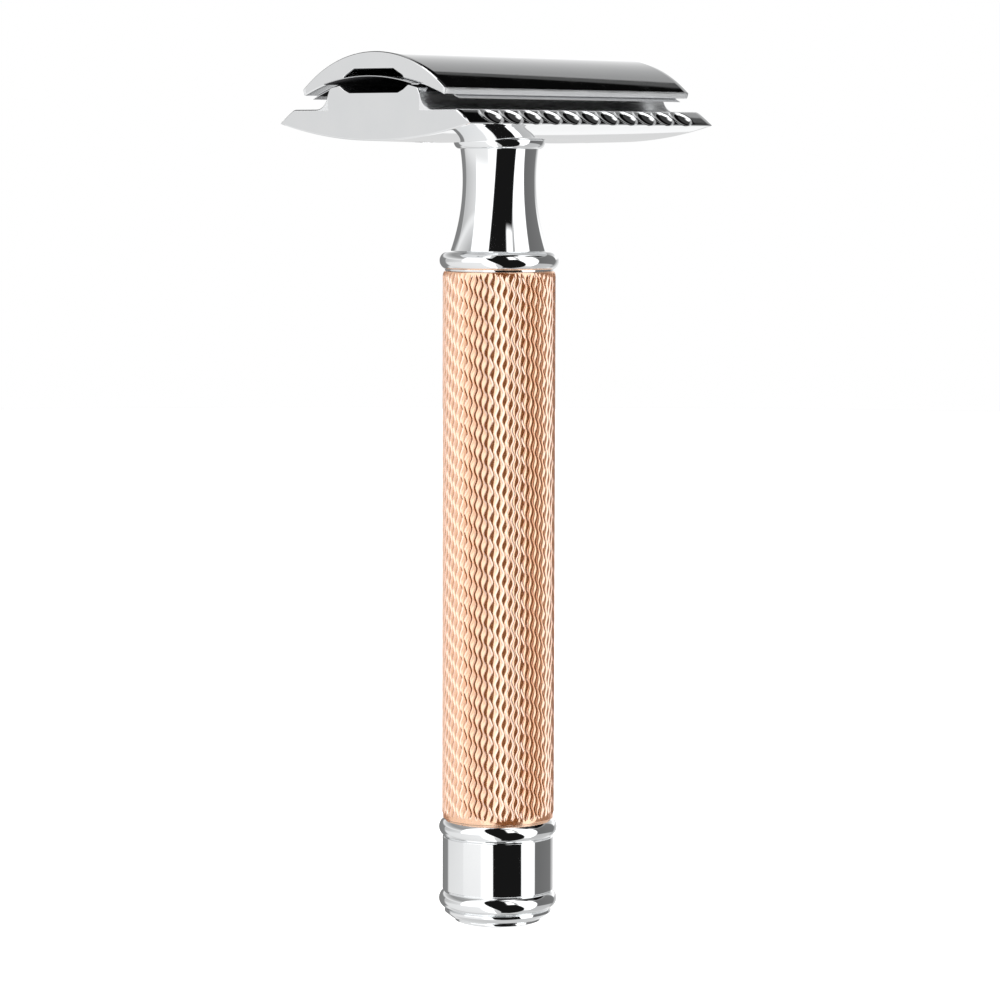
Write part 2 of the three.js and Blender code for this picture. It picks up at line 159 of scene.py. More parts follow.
# Head, heights above the seat
BLADE_BEND_R = 25.0
BLADE_THICKNESS = 0.1
BLADE_GRIND = 1.6
BLADE_FLANK = 9.7
BLADE_EDGE_HALF = 18.6
BLADE_TAB_HALF = 6.35
BLADE_SLOT_HALF = 0.75
BLADE_SLOT_END = 3.0
BLADE_HOLE_R = 3.0
BLADE_APEX = BLADE_HIGH.z - BLADE_THICKNESS / 2 - SEAT
BEND_CENTRE = BLADE_APEX - BLADE_BEND_R
CAP_UNDER_R = BLADE_BEND_R + 0.08
HUMP_TOP_R = BLADE_BEND_R - 0.35
CAP_R = 15.4
CAP_LIP = 10.17
RECESS_HALF = 4.3
RECESS_TOP = 7.37
RECESS_SLOPE = 1.5
RECESS_SLOPE_Z = 0.75
RECESS_DRAFT = 0.15
PRESS_GAP = 0.03
PLATE_BOTTOM_R = 53.0
SHELF_Z = 3.1
SHELF_EDGE = 11.7
NOSE_Z = 1.62
SHELF_ROUND = 1.7
SHELF_ROUND_Y = 8.45
HUMP_OUTER = 6.4
HUMP_INNER = 5.0
TROUGH_Z = 4.9
TROUGH_HALF = 3.95
TROUGH_FLARE = 0.25
TROUGH_RISE = 0.3
TROUGH_CURVE = 0.45
END_BEVEL = 0.18
NOSE_BEVEL = 0.03
BEVEL_GROWTH = 0.2
SIDE_LENGTH = 1.2
PLATE_BELLY = 0.22
UNDER_TOP = 1.4
UNDER_FADE = 0.5
LAND_R = 5.7
LAND_FADE_R = 9.8
SCOOPS = 11
SCOOP_PITCH = 3.2
SCOOP_HALF_X = 1.58
SCOOP_HALF_SLOPE = 1.33
SCOOP_LOW = 0.05
SCOOP_WALL = 42
SCOOP_RADIUS = 1.6
SCOOP_RIM = 0.04
SLOPE_CROWN = 0.055
SLOPE_REACH = 0.8
SLOPE_DEPTH = 0.5
SLOPE_SKIN = 0.1
LIP_WAVE = 0.12
LIP_WAVE_REACH = 1.4
GUARD_STEP = 0.07
STUD_HOLE_R = 2.75
PIN_HOLE_R = 1.65

# M5 thread of the stud and of the neck
PITCH = 0.8
STUD_ROOT_R = 2.02
STUD_CREST_R = STUD_HIGH.x
THREAD_GAP = 0.13
THREAD_BOTTOM = STUD_LOW.z - 2 * PITCH
STUD_THREAD_TOP = SEAT + 1.6

# ------------------------------------------------------------------ outlines


def arc(x, y, radius, start, end, steps, tall=None):
    """Points on a circle, or on an ellipse if tall is given, from one angle to another in degrees."""
    angles = np.radians(np.linspace(start, end, steps + 1))
    tall = radius if tall is None else tall
    return [(x + radius * math.cos(a), y + tall * math.sin(a)) for a in angles]


def angle_at(half, radius):
    """The angle from +X, in degrees, where a circle about the Y axis stands at this half width."""
    return math.degrees(math.acos(half / radius))


def rounded(corners, steps=5, loop=False):
    """The outline through (x, y) corners. A corner with a third number is rounded to that radius."""
    points = []
    count = len(corners)
    for i, corner in enumerate(corners):
        here = Vector(corner[:2])
        radius = corner[2] if len(corner) > 2 else 0
        if not radius or (not loop and i in (0, count - 1)):
            points.append(tuple(here))
            continue
        before = (Vector(corners[i - 1][:2]) - here).normalized()
        after = (Vector(corners[(i + 1) % count][:2]) - here).normalized()
        half = before.angle(after) / 2
        centre = here + (before + after).normalized() * (radius / math.sin(half))
        first = here + before * (radius / math.tan(half)) - centre
        last = here + after * (radius / math.tan(half)) - centre
        turn = first.angle_signed(last)
        for k in range(steps + 1):
            spoke = first.copy()
            spoke.rotate(Matrix.Rotation(-turn * k / steps, 2))
            points.append(tuple(centre + spoke))
    return points


def split_long(points, longest):
    """The closed outline with extra points, so that no side is longer than longest(point) allows."""
    out = []
    for here, there in zip(points, points[1:] + points[:1]):
        length = math.dist(here, there)
        middle = ((here[0] + there[0]) / 2, (here[1] + there[1]) / 2)
        parts = max(1, math.ceil(length / longest(middle)))
        for k in range(parts):
            share = k / parts
            out.append((here[0] + (there[0] - here[0]) * share, here[1] + (there[1] - here[1]) * share))
    return out


def inset(points, distance):
    """A closed anticlockwise outline moved inwards."""
    at = np.array(points)
    along = np.roll(at, -1, 0) - at
    along /= np.linalg.norm(along, axis=1)[:, None]
    normal = np.stack([-along[:, 1], along[:, 0]], 1)
    normal = normal + np.roll(normal, 1, 0)
    normal /= np.linalg.norm(normal, axis=1)[:, None]
    return at + normal * distance


def mirrored(points):
    """A half outline's other half."""
    return [(-x, y) for x, y in reversed(points)]


# ------------------------------------------------------------------ meshes


def new_object(name, vertices, faces):
    """An object from vertices in millimetres."""
    mesh = bpy.data.meshes.new(name)
    mesh.from_pydata((np.asarray(vertices) * MM).tolist(), [], faces)
    mesh.validate()
    piece = bpy.data.objects.new(name, mesh)
    bpy.context.scene.collection.objects.link(piece)
    return piece


def grid_faces(rows, columns, wrap_rows):
    """Quads over rows of points, each row closed on itself."""
    faces = []
    for row in range(rows if wrap_rows else rows - 1):
        low, high = row * columns, (row + 1) % rows * columns
        for k in range(columns):
            after = (k + 1) % columns
            faces.append((low + k, low + after, high + after, high + k))
    return faces


def ring(radius, angles, height):
    """Points round the Z axis."""
    return np.stack([radius * np.cos(angles), radius * np.sin(angles), np.full(len(angles), height)], 1)


def revolve(name, profile, segments=ROUND):
    """A closed body of revolution. A profile's point is (radius, height), and its radius may be an array with
    one value for each segment. A profile that starts and ends off the axis closes on itself."""
    angles = np.linspace(0, 2 * math.pi, segments, endpoint=False)
    solid = np.max(profile[0][0]) < 1e-9
    inner = profile[1:-1] if solid else profile
    vertices = np.concatenate([ring(radius, angles, height) for radius, height in inner])
    faces = grid_faces(len(inner), segments, not solid)
    if solid:
        ends = [(0, 0, profile[0][1]), (0, 0, profile[-1][1])]
        first, last = len(vertices), len(vertices) + 1
        top = len(vertices) - segments
        vertices = np.concatenate([vertices, ends])
        for k in range(segments):
            after = (k + 1) % segments
            faces.append((first, after, k))
            faces.append((last, top + k, top + after))
    return new_object(name, vertices, faces)


def bar(name, outline, half_length, bevel, stations, shape=None, room=None):
    """A bar along X from a closed anticlockwise (y, z) outline, with rounded end edges. shape may move its
    points, and room gives the share of the bevel that there is room for at a place y of the outline."""
    turns = [math.radians(a) for a in (90, 60, 30, 0)]
    rows = [(-half_length + bevel * (1 - math.sin(a)), bevel * (1 - math.cos(a))) for a in turns]
    rows += [(x, 0) for x in stations]
    rows += [(-x, depth) for x, depth in reversed(rows[:4])]
    vertices = []
    for x, depth in rows:
        share = 1.0 if room is None else np.array([room(y) for y, _ in outline])[:, None]
        loop = inset(outline, depth * share) if depth else np.array(outline)
        vertices.append(np.column_stack([np.full(len(loop), x), loop]))
    vertices = np.concatenate(vertices)
    if shape is not None:
        vertices = shape(vertices)
    columns = len(outline)
    faces = grid_faces(len(rows), columns, False)
    faces.append(tuple(reversed(range(columns))))
    faces.append(tuple(range((len(rows) - 1) * columns, len(rows) * columns)))
    return new_object(name, vertices, faces)


def cut(piece, tools):
    """Cuts the tools out of the piece, and removes them."""
    for tool in tools:
        modifier = piece.modifiers.new("cut", "BOOLEAN")
        modifier.operation = "DIFFERENCE"
        modifier.solver = "EXACT"
        modifier.object = tool
    graph = bpy.context.evaluated_depsgraph_get()
    finished = bpy.data.meshes.new_from_object(piece.evaluated_get(graph))
    piece.modifiers.clear()
    piece.data = finished
    for tool in tools:
        bpy.data.objects.remove(tool)


def cylinder(radius, low, high, x=0.0, chamfer=0.0, segments=64):
    """A cutter along Z, which can widen at its upper end."""
    profile = [(0, low), (radius, low), (radius, high - chamfer), (radius + chamfer, high), (0, high)]
    if not chamfer:
        profile.pop(3)
    tool = revolve("tool", profile, segments)
    tool.data.transform(Matrix.Translation((x * MM, 0, 0)))
    return tool


def block(low, high):
    """A cutter in the shape of a box."""
    corners = [(x, y, z) for x in (low[0], high[0]) for y in (low[1], high[1]) for z in (low[2], high[2])]
    faces = [(0, 1, 3, 2), (4, 6, 7, 5), (0, 4, 5, 1), (2, 3, 7, 6), (0, 2, 6, 4), (1, 5, 7, 3)]
    return new_object("tool", corners, faces)


def finish_piece(piece, node, body, material, sharp=32, even=True):
    """Shades a piece, gives it its finish and puts it in the place of its CAD node."""
    mesh = piece.data
    mesh.validate()
    mesh.materials.clear()
    mesh.materials.append(material)
    mesh.shade_smooth()
    mesh.set_sharp_from_angle(angle=math.radians(sharp))
    if even:
        evened = piece.modifiers.new("even", "WEIGHTED_NORMAL")
        evened.keep_sharp = True
    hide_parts(node)
    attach(piece, body)


# ------------------------------------------------------------------ node graphs


class Graph:
    """Short names for the nodes that the materials and the surroundings are made of."""

    def __init__(self, tree):
        self.tree = tree
        tree.nodes.clear()

    def node(self, kind, **settings):
        made = self.tree.nodes.new(kind)
        for key, value in settings.items():
            setattr(made, key, value)
        return made

    def put(self, value, socket):
        if isinstance(value, bpy.types.NodeSocket):
            self.tree.links.new(value, socket)
        else:
            socket.default_value = value

    def math(self, operation, *values):
        made = self.node("ShaderNodeMath", operation=operation)
        for value, socket in zip(values, made.inputs):
            self.put(value, socket)
        return made.outputs[0]

    def ramp(self, value, low, high, out_low=0.0, out_high=1.0, smooth=True):
        kind = "SMOOTHSTEP" if smooth else "LINEAR"
        made = self.node("ShaderNodeMapRange", interpolation_type=kind, clamp=True)
        for number, socket in zip((value, low, high, out_low, out_high), made.inputs):
            self.put(number, socket)
        return made.outputs[0]

    def mix(self, share, first, second):
        made = self.node("ShaderNodeMix", data_type="RGBA")
        self.put(share, made.inputs[0])
        self.put(first, made.inputs[6])
        self.put(second, made.inputs[7])
        return made.outputs[2]

    def dot(self, vector, direction):
        made = self.node("ShaderNodeVectorMath", operation="DOT_PRODUCT")
        self.put(vector, made.inputs[0])
        made.inputs[1].default_value = direction
        return made.outputs["Value"]

    def where(self):
        """The place on the piece."""
        return self.node("ShaderNodeTexCoord").outputs["Object"]

    def facing(self):
        """The surface's direction in the piece's own frame."""
        return self.node("ShaderNodeTexCoord").outputs["Normal"]

    def axes(self, vector):
        """The X, Y and Z of a vector."""
        made = self.node("ShaderNodeSeparateXYZ")
        self.put(vector, made.inputs[0])
        return made.outputs[0], made.outputs[1], made.outputs[2]

    def between(self, value, low, high):
        above = self.math("GREATER_THAN", value, low)
        below = self.math("LESS_THAN", value, high)
        return self.math("MULTIPLY", above, below)

    def noise(self, sizes_mm, detail=2.0, roughness=0.5):
        """Noise with a grain of these sizes, in millimetres, along X, Y and Z."""
        scaled = self.node("ShaderNodeMapping")
        self.tree.links.new(self.where(), scaled.inputs["Vector"])
        scaled.inputs["Scale"].default_value = [1 / (size * MM) for size in sizes_mm]
        made = self.node("ShaderNodeTexNoise")
        self.tree.links.new(scaled.outputs[0], made.inputs["Vector"])
        made.inputs["Scale"].default_value = 1
        made.inputs["Detail"].default_value = detail
        made.inputs["Roughness"].default_value = roughness
        return made.outputs[0]

    def bump(self, height, depth_mm, strength=1.0):
        made = self.node("ShaderNodeBump")
        made.inputs["Strength"].default_value = strength
        made.inputs["Distance"].default_value = depth_mm * MM
        self.put(height, made.inputs["Height"])
        return made.outputs[0]


def new_material(name):
    material = bpy.data.materials.new(name)
    material.use_nodes = True
    return material, Graph(material.node_tree)


def surface(graph, colour, metallic, roughness, normal=None, **more):
    shader = graph.node("ShaderNodeBsdfPrincipled")
    graph.put(colour, shader.inputs["Base Color"])
    graph.put(metallic, shader.inputs["Metallic"])
    graph.put(roughness, shader.inputs["Roughness"])
    if normal is not None:
        graph.put(normal, shader.inputs["Normal"])
    for key, value in more.items():
        graph.put(value, shader.inputs[key])
    out = graph.node("ShaderNodeOutputMaterial")
    graph.tree.links.new(shader.outputs[0], out.inputs[0])


# ------------------------------------------------------------------ materials


def chrome(name, satin=None, ends=None):
    """Bright plate over a polished casting: faint clouds, hairline marks and the softest waviness. satin is
    (half width from, to, height from, to), in millimetres, of a part that is only brushed before plating.
    ends is the half length of a bar whose upper end edges get a painted dark reflection."""
    material, graph = new_material(name)
    clouds = graph.noise((3.0, 3.0, 3.0), 3)
    hairs = graph.noise((2.5, 0.05, 0.05), 2)
    marks = graph.ramp(hairs, 0.62, 0.78, 0.0, 0.07)
    roughness = graph.math("ADD", graph.ramp(clouds, 0.35, 0.7, 0.018, 0.05), marks)
    colour = graph.mix(clouds, (0.86, 0.875, 0.885, 1), (0.91, 0.915, 0.92, 1))
    waviness = graph.bump(graph.noise((4.0, 4.0, 4.0), 1), 0.004, 0.35)
    if ends is not None:
        # Painted dark reflection: the upper end bevels of a bar are painted near black, for the dark room
        # they would mirror.
        length = graph.math("ABSOLUTE", graph.axes(graph.where())[0])
        along, across, up = graph.axes(graph.facing())
        near_end = graph.ramp(length, (ends - END_BEVEL) * MM, (ends - 0.7 * END_BEVEL) * MM)
        turned = graph.ramp(graph.math("ABSOLUTE", along), 0.93, 0.99, 1.0, 0.0)
        upper = graph.math("MULTIPLY", graph.ramp(up, 0.0, 0.15), graph.ramp(across, -0.35, 0.0))
        edge = graph.math("MULTIPLY", graph.math("MULTIPLY", near_end, turned), upper)
        colour = graph.mix(edge, colour, (0.03, 0.03, 0.032, 1))
    if satin is not None:
        near, far, low, high = satin
        _, across, up = graph.axes(graph.where())
        wide = graph.between(graph.math("ABSOLUTE", across), near * MM, far * MM)
        brushed = graph.math("MULTIPLY", wide, graph.between(up, low * MM, high * MM))
        streaks = graph.noise((3.0, 0.06, 0.06), 3, 0.6)
        rough = graph.ramp(streaks, 0.3, 0.7, 0.26, 0.5)
        added = graph.math("MULTIPLY", brushed, rough)
        roughness = graph.math("ADD", roughness, added)
    surface(graph, colour, 1.0, roughness, waviness)
    return material


def rose_gold():
    """Rose gold plate, with painted shade: its colour is lighter on the cords and deeper in the engraved
    floor.
    """
    material, graph = new_material("rose_gold_plate")
    along, across, _ = graph.axes(graph.where())
    squares = graph.math("ADD", graph.math("POWER", along, 2.0), graph.math("POWER", across, 2.0))
    radius = graph.math("SQRT", squares)
    floor = (SLEEVE_R - CORD_HEIGHT) * MM
    height = graph.ramp(radius, floor, SLEEVE_R * MM)
    clouds = graph.noise((1.5, 1.5, 4.0), 3)
    # Painted shade: the engraved floor gets a deeper, more orange colour than the cords, for the light that
    # bounces in the grooves.
    crown = graph.mix(clouds, (1.0, 0.85, 0.76, 1), (1.0, 0.89, 0.82, 1))
    hollow = graph.mix(clouds, (0.97, 0.70, 0.50, 1), (1.0, 0.78, 0.61, 1))
    grain = graph.noise((0.06, 0.06, 0.06), 2)
    rough_low = graph.ramp(grain, 0.3, 0.7, 0.14, 0.22)
    rough_high = graph.ramp(grain, 0.3, 0.7, 0.08, 0.14)
    metal = graph.node("ShaderNodeBsdfPrincipled")
    graph.put(graph.mix(height, hollow, crown), metal.inputs["Base Color"])
    metal.inputs["Metallic"].default_value = 1.0
    graph.put(graph.mix(height, rough_low, rough_high), metal.inputs["Roughness"])
    graph.put(graph.bump(grain, 0.002, 0.3), metal.inputs["Normal"])
    warmth = graph.node("ShaderNodeBsdfDiffuse")
    warmth.inputs["Color"].default_value = (1.0, 0.29, 0.06, 1)
    both = graph.node("ShaderNodeMixShader")
    both.inputs[0].default_value = 0.21
    out = graph.node("ShaderNodeOutputMaterial")
    graph.tree.links.new(metal.outputs[0], both.inputs[1])
    graph.tree.links.new(warmth.outputs[0], both.inputs[2])
    graph.tree.links.new(both.outputs[0], out.inputs[0])
    return material


def blade_steel():
    """Rolled strip with lengthwise lines, duller ground flanks towards its edges and painted shade on its
    under face.
    """
    material, graph = new_material("ground_blade_steel")
    _, across, _ = graph.axes(graph.where())
    flank = graph.ramp(graph.math("ABSOLUTE", across), BLADE_FLANK * MM, (BLADE_FLANK + 0.1) * MM)
    rolled = graph.noise((6.0, 0.03, 0.5), 3, 0.6)
    ground = graph.noise((0.03, 1.0, 1.0), 3, 0.6)
    grain = graph.mix(flank, rolled, ground)
    bright = graph.mix(grain, (0.55, 0.555, 0.565, 1), (0.74, 0.745, 0.755, 1))
    # Painted shade: away from the ground flanks, the under face is dark and loses its metal and part of its
    # shine.
    _, _, up = graph.axes(graph.facing())
    under = graph.ramp(up, -0.3, 0.0, 1.0, 0.0)
    inside = graph.math("MULTIPLY", under, graph.math("SUBTRACT", 1.0, flank))
    colour = graph.mix(inside, bright, (0.035, 0.035, 0.037, 1))
    smooth = graph.ramp(grain, 0.3, 0.7, 0.16, 0.3)
    roughness = graph.math("ADD", smooth, graph.math("MULTIPLY", flank, 0.2))
    unshaded = graph.math("SUBTRACT", 1.0, inside)
    shine = graph.math("MULTIPLY", unshaded, 0.5)
    lines = graph.bump(grain, 0.003, 0.4)
    surface(graph, colour, unshaded, roughness, lines, **{"Specular IOR Level": shine})
    return material


def plain_metal(name, dark, light, roughness, grain_mm):
    """A turned or plated inner part, with the marks of its tool."""
    material, graph = new_material(name)
    marks = graph.noise(grain_mm, 3, 0.6)
    colour = graph.mix(marks, (*dark, 1), (*light, 1))
    rough = graph.ramp(marks, 0.3, 0.7, roughness - 0.08, roughness + 0.1)
    surface(graph, colour, 1.0, rough, graph.bump(marks, 0.004, 0.5))
    return material


def rubber():
    material, graph = new_material("seal_rubber")
    grain = graph.noise((0.08, 0.08, 0.08), 3)
    colour = graph.mix(grain, (0.012, 0.012, 0.013, 1), (0.03, 0.03, 0.031, 1))
    rough = graph.ramp(grain, 0.3, 0.7, 0.55, 0.8)
    surface(graph, colour, 0.0, rough, graph.bump(grain, 0.01, 0.6))
    return material


CHROME = chrome("polished_chrome")
CAP_CHROME = chrome("chrome_brushed_at_the_lip", (9.9, 10.6, SEAT + 4.66, SEAT + 5.34), CAP_HIGH.x)
PLATE_CHROME = chrome("chrome_brushed_on_the_shelf", (6.6, 11.8, SEAT + 2.95, SEAT + 5.5), PLATE_HIGH.x)
ROSE_GOLD = rose_gold()
BLADE_STEEL = blade_steel()
BRASS = plain_metal("turned_brass", (0.66, 0.49, 0.22), (0.80, 0.62, 0.32), 0.32, (2.0, 2.0, 0.06))
ZINC = plain_metal("zinc_plated_steel", (0.50, 0.52, 0.53), (0.68, 0.70, 0.71), 0.38, (0.4, 0.4, 0.4))
RUBBER = rubber()

# ------------------------------------------------------------------ handle


def thread_rows(root, crest, low, high, per_pitch=12, segments=ROUND):
    """Rows of a right-hand thread in phase with the CAD stud, fading out at both ends."""
    turns = np.linspace(0, 1, segments, endpoint=False)
    count = round((high - low) / PITCH * per_pitch)
    rows = []
    for k in range(count + 1):
        z = low + (high - low) * k / count
        phase = (z - STUD_LOW.z) / PITCH - turns
        tooth = 1 - np.abs(2 * (phase - np.floor(phase)) - 1)
        tooth = np.clip((tooth - 0.12) / 0.72, 0, 1)
        fade = min(1.0, (z - low) / (PITCH / 2), (high - z) / (PITCH / 2))
        rows.append((root + (crest - root) * fade * tooth, z))
    return rows


def bead(z, reach_low, reach_high):
    return arc(BEAD_R - BEAD_ROUND, z, BEAD_ROUND, -reach_low, reach_high, 24)


def groove(z):
    """The groove for an O-ring in a spigot."""
    low, high = z - GROOVE_WIDTH / 2, z + GROOVE_WIDTH / 2
    floor = SPIGOT_R - GROOVE_DEPTH
    return [(SPIGOT_R, low, 0.05), (floor, low, 0.12), (floor, high, 0.12), (SPIGOT_R, high, 0.05)]


def o_ring_height(node):
    low, high = box_mm(node)
    return (low.z + high.z) / 2


def pommel():
    """Step, bead, plain band, bead and the spigot that carries the sleeve, bored for the nut."""
    profile = rounded([
        (BORE_R, POMMEL_LOW.z, 0.05),
        (PLUG_R + PLUG_GAP, POMMEL_LOW.z, 0.05),
        (FOOT_CURVE_R, FOOT_CURVE_Z, 0.5),
        (STEP_R, STEP_LOW_Z, 0.1),
        (STEP_R, STEP_Z - 0.06, 0.04),
        (STEP_R - GROOVE_BY_STEP, STEP_Z, 0.02),
        *bead(LOW_BEAD_Z, 78, 62),
        (BAND_R - GROOVE_BY_BAND, BAND_LOW - 0.07, 0.02),
        (BAND_R, BAND_LOW + 0.03, 0.06),
        (BAND_R, BAND_HIGH - 0.06, 0.06),
        (BAND_R - GROOVE_BY_BAND, BAND_HIGH + 0.05, 0.02),
        *bead(HIGH_BEAD_Z, 62, 62),
        (SLEEVE_R - 0.25, SLEEVE_LOW.z - 0.05, 0.03),
        (SPIGOT_R, SLEEVE_LOW.z - 0.05),
        *groove(o_ring_height("pommel_o_ring")),
        (SPIGOT_R, POMMEL_HIGH.z, 0.2),
        (ROD_BORE_R, POMMEL_HIGH.z, 0.2),
        (ROD_BORE_R, NUT_SEAT_Z, 0.1),
        (BORE_R, NUT_SEAT_Z, 0.1),
    ], loop=True)
    piece = revolve("pommel_turned", profile, FINE_ROUND)
    finish_piece(piece, "pommel", "handle", CHROME)


def foot_plug():
    """The last step of the pommel, on a stem."""
    profile = rounded([
        (0, PLUG_LOW.z),
        (PLUG_FLAT_R, PLUG_LOW.z, 0.6),
        (PLUG_CURVE_R, PLUG_CURVE_Z, 0.6),
        (PLUG_R, PLUG_EDGE_Z, 0.08),
        (PLUG_R, PLUG_LOW.z + PLUG_LEDGE, 0.03),
        (PLUG_STEM_R, PLUG_LEDGE, 0.05),
        (PLUG_STEM_R, PLUG_HIGH.z, 0.15),
        (0, PLUG_HIGH.z),
    ])
    piece = revolve("foot_plug_turned", profile, FINE_ROUND)
    finish_piece(piece, "foot_plug", "handle", CHROME)


def neck():
    """Spigot, bead, hollow taper and flange, tapped for the stud and bored for the rod."""
    heights = np.linspace(NECK_BASE_Z, FLANGE_Z, 40)
    taper = [(WAIST_R + WAIST_FLARE * (z - WAIST_Z) ** 2, z) for z in heights]
    mouth_root = STUD_ROOT_R + THREAD_GAP
    mouth_crest = STUD_CREST_R + THREAD_GAP
    thread = thread_rows(mouth_root, mouth_crest, THREAD_BOTTOM, SEAT - 0.55, segments=FINE_ROUND)
    outside = rounded([
        (ROD_BORE_R, NECK_LOW.z, 0.2),
        (SPIGOT_R, NECK_LOW.z, 0.2),
        *groove(o_ring_height("neck_o_ring")),
        (SPIGOT_R, SLEEVE_HIGH.z + 0.05),
        (SLEEVE_R - 0.25, SLEEVE_HIGH.z + 0.05, 0.03),
        *bead(NECK_BEAD_Z, 64, 70),
        (taper[0][0] + 0.02, NECK_BASE_Z - 0.06, 0.03),
        *taper,
        *arc(FLANGE_R - 0.56, SEAT - 0.14, 0.68, -88, -4, 14, tall=0.92),
        (FLANGE_R + 0.11, SEAT, 0.08),
        (STUD_CREST_R + 0.55, SEAT, 0.04),
        (mouth_root, SEAT - 0.54),
    ], loop=False)
    inside = [
        *reversed(thread),
        (0.02, THREAD_BOTTOM - 0.45),
        (0.02, ROD_HIGH.z + 0.55),
        (ROD_BORE_R, ROD_HIGH.z + 0.15),
    ]
    piece = revolve("neck_turned", outside + inside, FINE_ROUND)
    finish_piece(piece, "neck", "handle", CHROME)


def grip_sleeve():
    """Cords that wave along the sleeve, each a quarter of a wave behind its neighbour."""
    low, high = SLEEVE_LOW.z, SLEEVE_HIGH.z
    floor = SLEEVE_R - CORD_HEIGHT
    waves = (high - low - 2 * PLAIN_RIM) / WAVE_LENGTH
    heights = np.concatenate([
        [low + 0.05, low + PLAIN_RIM / 2],
        np.linspace(low + PLAIN_RIM, high - PLAIN_RIM / 2, round(waves * ROWS_PER_WAVE)),
        [high - PLAIN_RIM / 4, high - 0.05],
    ])
    number = np.repeat(np.arange(CORDS), len(CORD_COLUMNS))
    across = np.tile(CORD_COLUMNS, CORDS)
    vertices = []
    for z in heights:
        phase = 2 * math.pi * (z / WAVE_LENGTH + WAVES_PER_CORD * number + WAVE_START)
        centre = 2 * math.pi * (number + CORD_START) / CORDS + WAVE_REACH / SLEEVE_R * np.sin(phase)
        angle = centre + across * CORD_WIDTH / SLEEVE_R
        from_end = min(z - low - PLAIN_RIM, high - PLAIN_RIM / 3 - z)
        end = math.sqrt(min(max(from_end / CORD_END, 0), 1))
        height = CORD_HEIGHT * end * (0.5 + 0.5 * np.cos(2 * math.pi * across))
        radius = floor + height
        vertices.append(ring(radius, angle, z))
    angle = 2 * math.pi * (number + CORD_START) / CORDS + across * CORD_WIDTH / SLEEVE_R
    rims = [(floor - 0.05, high), (SLEEVE_INNER_R, high), (SLEEVE_INNER_R, low), (floor - 0.05, low)]
    vertices += [ring(radius, angle, z) for radius, z in rims]
    faces = grid_faces(len(vertices), len(number), True)
    piece = new_object("grip_sleeve_waved", np.concatenate(vertices), faces)
    finish_piece(piece, "grip_sleeve", "handle", ROSE_GOLD, sharp=60, even=False)


def tube(inner, outer, low, high, inner_edge, outer_edge):
    """The profile of a tube with rounded edges."""
    return rounded([
        (inner, low, inner_edge),
        (outer, low, outer_edge),
        (outer, high, outer_edge),
        (inner, high, inner_edge),
    ], loop=True)


def core_tube():
    profile = tube(ROD_BORE_R, CORE_HIGH.x, CORE_LOW.z, CORE_HIGH.z, 0.2, 0.3)
    finish_piece(revolve("core_tube_turned", profile), "core_tube", "handle", BRASS)


def tie_rod():
    """A plain rod with a rolled thread at each end."""
    root = ROD_R - ROD_THREAD_DEPTH
    shank = ROD_R - 0.1
    low, high = ROD_LOW.z, ROD_HIGH.z
    profile = [
        (0, low),
        (root - 0.2, low),
        *thread_rows(root, ROD_R, low + 0.2, low + ROD_THREAD),
        (shank, low + ROD_THREAD + 0.3),
        (shank, high - ROD_THREAD - 0.3),
        *thread_rows(root, ROD_R, high - ROD_THREAD, high - 0.2),
        (root - 0.2, high),
        (0, high),
    ]
    finish_piece(revolve("tie_rod_threaded", profile), "tie_rod", "handle", ZINC)


def tie_nut():
    """A hexagon whose corners are turned down by a shallow cone at both ends."""
    angles = np.linspace(0, 2 * math.pi, NUT_ROUND, endpoint=False)
    flat = NUT_HIGH.y
    hexagon = flat / np.cos((angles % (math.pi / 3)) - math.pi / 6)
    face = np.minimum(hexagon, flat - 0.1)
    steps = (0.4, 1.0, 1.8)
    cone = [(np.minimum(hexagon, flat + NUT_CONE_REACH * k), NUT_CONE_RISE * k) for k in steps]
    hole = ROD_R + NUT_GAP
    mouth = hole + NUT_CHAMFER
    low, high = NUT_LOW.z, NUT_HIGH.z
    profile = [
        (mouth, low),
        (face, low),
        *[(radius, low + rise) for radius, rise in cone],
        *[(radius, high - rise) for radius, rise in reversed(cone)],
        (face, high),
        (mouth, high),
        (hole, high - NUT_CHAMFER),
        (hole, low + NUT_CHAMFER),
    ]
    finish_piece(revolve("tie_nut_hex", profile, NUT_ROUND), "tie_nut", "handle", ZINC)


def tie_washer():
    profile = tube(ROD_BORE_R, WASHER_HIGH.x, WASHER_LOW.z, WASHER_HIGH.z, 0.05, 0.12)
    finish_piece(revolve("tie_washer_pressed", profile), "tie_washer", "handle", ZINC)


def o_ring(node):
    """A ring of round wire."""
    low, high = box_mm(node)
    wire = (high.z - low.z) / 2
    profile = arc(high.x - wire, (low.z + high.z) / 2, wire, 0, 345, 23)
    finish_piece(revolve(node + "_moulded", profile), node, "handle", RUBBER)


# ------------------------------------------------------------------ head


def smooth_step(value):
    value = np.clip(value, 0, 1)
    return value * value * (3 - 2 * value)


